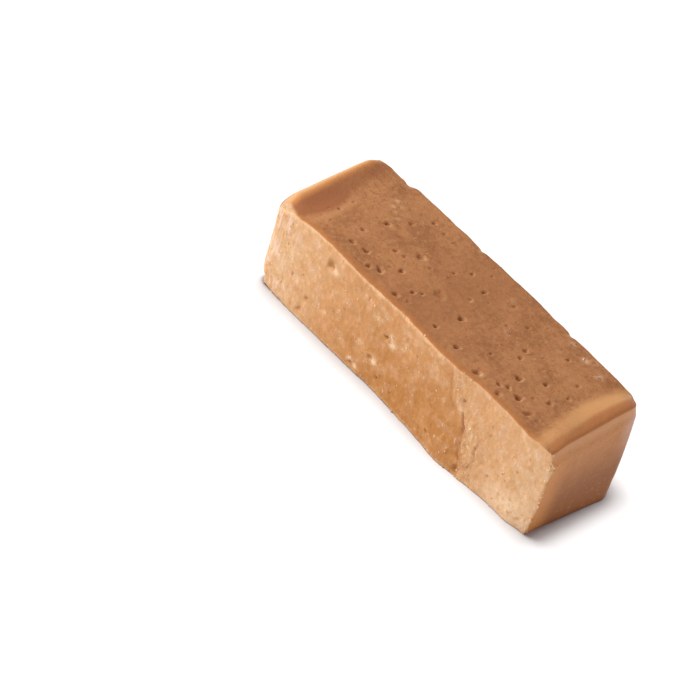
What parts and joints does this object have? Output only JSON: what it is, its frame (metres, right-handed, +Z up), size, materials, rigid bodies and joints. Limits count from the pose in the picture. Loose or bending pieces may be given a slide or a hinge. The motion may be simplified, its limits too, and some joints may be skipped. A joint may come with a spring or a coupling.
{
  "type": "nougat block",
  "caption": "Solid rectangular block of caramel-coloured nougat with a pitted top skin, raised end lips and knife-cut long sides, lying on a flat underside.",
  "frame": {"origin": "centre of the flat underside", "axes": "+X along the bar, towards the end with the skewed top edge; +Y across it, from the creased cut side to the taller one; +Z up"},
  "size_m": [0.0857, 0.0298, 0.026],
  "materials": {
    "nougat": "waxy satin top skin and moulded ends, matt crumbly cut sides"
  },
  "bodies": {
    "root": {"nougat_block": "nougat"}
  },
  "joints": []
}
